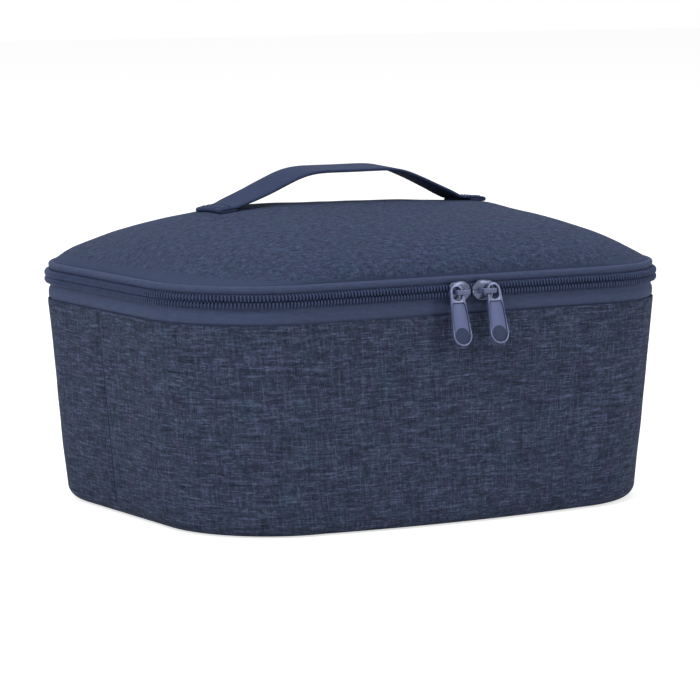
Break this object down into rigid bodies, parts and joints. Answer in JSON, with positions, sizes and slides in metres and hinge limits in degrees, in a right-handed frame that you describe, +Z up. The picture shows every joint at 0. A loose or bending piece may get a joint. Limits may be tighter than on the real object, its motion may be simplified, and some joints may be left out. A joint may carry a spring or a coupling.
{
  "type": "cooler bag",
  "caption": "Soft insulated bag with rounded upright corners, a domed lid hinged at the back, a coil zip round three sides with two sliders and pulls, and a strap handle on the lid.",
  "frame": {"origin": "on the floor under the middle of the bag's plan", "axes": "+Z up, the zip's meeting point and the pulls face -Y, +X to the right as seen from the front"},
  "size_m": [0.2828, 0.2127, 0.1642],
  "materials": {
    "heather_fabric": "heathered navy woven polyester, matte",
    "plain_tape": "plain navy woven tape, matte",
    "binding": "plain navy woven binding, matte",
    "webbing": "plain navy woven webbing, matte",
    "coil": "dark navy nylon, satin",
    "foam": "pale grey closed-cell foam",
    "liner": "silvery heat-sealed film",
    "slider": "blue-grey paint on a zinc casting, satin",
    "pull": "blue-grey paint on a zinc casting, satin"
  },
  "bodies": {
    "bag_body": {"front_panel": "heather_fabric", "back_panel": "heather_fabric", "base_panel": "heather_fabric", "wall_foam": "foam", "base_foam": "foam", "wall_liner": "liner", "base_liner": "liner", "rim_binding": "binding", "lower_zip_tape": "plain_tape", "lower_zip_coil": "coil", "hinge_strip_lower": "plain_tape"},
    "lid": {"lid_panel": "heather_fabric", "lid_foam": "foam", "lid_liner": "liner", "lid_binding": "binding", "upper_zip_tape": "plain_tape", "upper_zip_coil": "coil", "hinge_strip_upper": "plain_tape", "handle_strap": "webbing"},
    "left_slider": {"slider_left": "slider"},
    "left_pull": {"pull_left": "pull"},
    "right_slider": {"slider_right": "slider"},
    "right_pull": {"pull_right": "pull"}
  },
  "joints": [
    {"name": "lid_hinge", "type": "hinge", "parent": "bag_body", "child": "lid", "pos_m": [0, 0.1, 0.1115], "axis": [-1, 0, 0], "range_deg": [0, 180]},
    {"name": "left_slide", "type": "slide", "parent": "bag_body", "child": "left_slider", "axis": [-1, 0, 0], "range_m": [0, 0.075]},
    {"name": "left_pull_swing", "type": "hinge", "parent": "left_slider", "child": "left_pull", "pos_m": [-0.0058, -0.1051, 0.1115], "axis": [0, 1, 0], "range_deg": [-8, 100]},
    {"name": "right_slide", "type": "slide", "parent": "bag_body", "child": "right_slider", "axis": [1, 0, 0], "range_m": [0, 0.066]},
    {"name": "right_pull_swing", "type": "hinge", "parent": "right_slider", "child": "right_pull", "pos_m": [0.0152, -0.1051, 0.1115], "axis": [0, -1, 0], "range_deg": [-8, 100]}
  ]
}
